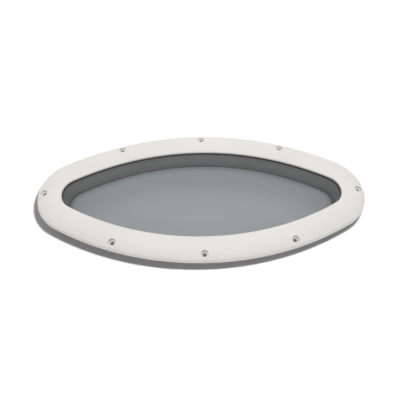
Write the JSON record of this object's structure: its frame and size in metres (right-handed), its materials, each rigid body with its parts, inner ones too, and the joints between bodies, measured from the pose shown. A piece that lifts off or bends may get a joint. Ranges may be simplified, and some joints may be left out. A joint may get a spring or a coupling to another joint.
{
  "type": "fixed porthole",
  "caption": "Oval fixed boat porthole: crowned white outer ring with counterbored screw holes, deep dark frame, tinted lens in a channel seal, and a screwed retainer ring behind.",
  "frame": {"origin": "centre of the retainer's back face, the lowest plane of the part when it lies face up", "axes": "+Z outboard, square to the hull; +X along the long axis; +Y across it"},
  "size_m": [0.36, 0.16, 0.0382],
  "materials": {
    "white_plastic": "warm white UV-stable plastic, satin gloss",
    "dark_plastic": "moulded grey glass-filled nylon, satin",
    "foam_rubber": "closed-cell grey foam rubber",
    "seal_rubber": "extruded dark grey solid rubber",
    "smoked_acrylic": "polished smoke-grey cast acrylic",
    "stainless": "plain stainless"
  },
  "bodies": {
    "root": {"outer_trim_ring": "white_plastic", "bond_gasket": "seal_rubber", "body_frame": "dark_plastic", "hull_gasket": "foam_rubber", "glazing_seal": "seal_rubber", "lens": "smoked_acrylic", "lens_retainer": "dark_plastic", "retainer_screw_01": "stainless", "retainer_screw_02": "stainless", "retainer_screw_03": "stainless", "retainer_screw_04": "stainless", "retainer_screw_05": "stainless", "retainer_screw_06": "stainless", "retainer_screw_07": "stainless", "retainer_screw_08": "stainless", "retainer_screw_09": "stainless", "retainer_screw_10": "stainless", "retainer_screw_11": "stainless", "retainer_screw_12": "stainless", "retainer_screw_13": "stainless", "retainer_screw_14": "stainless"}
  },
  "joints": []
}
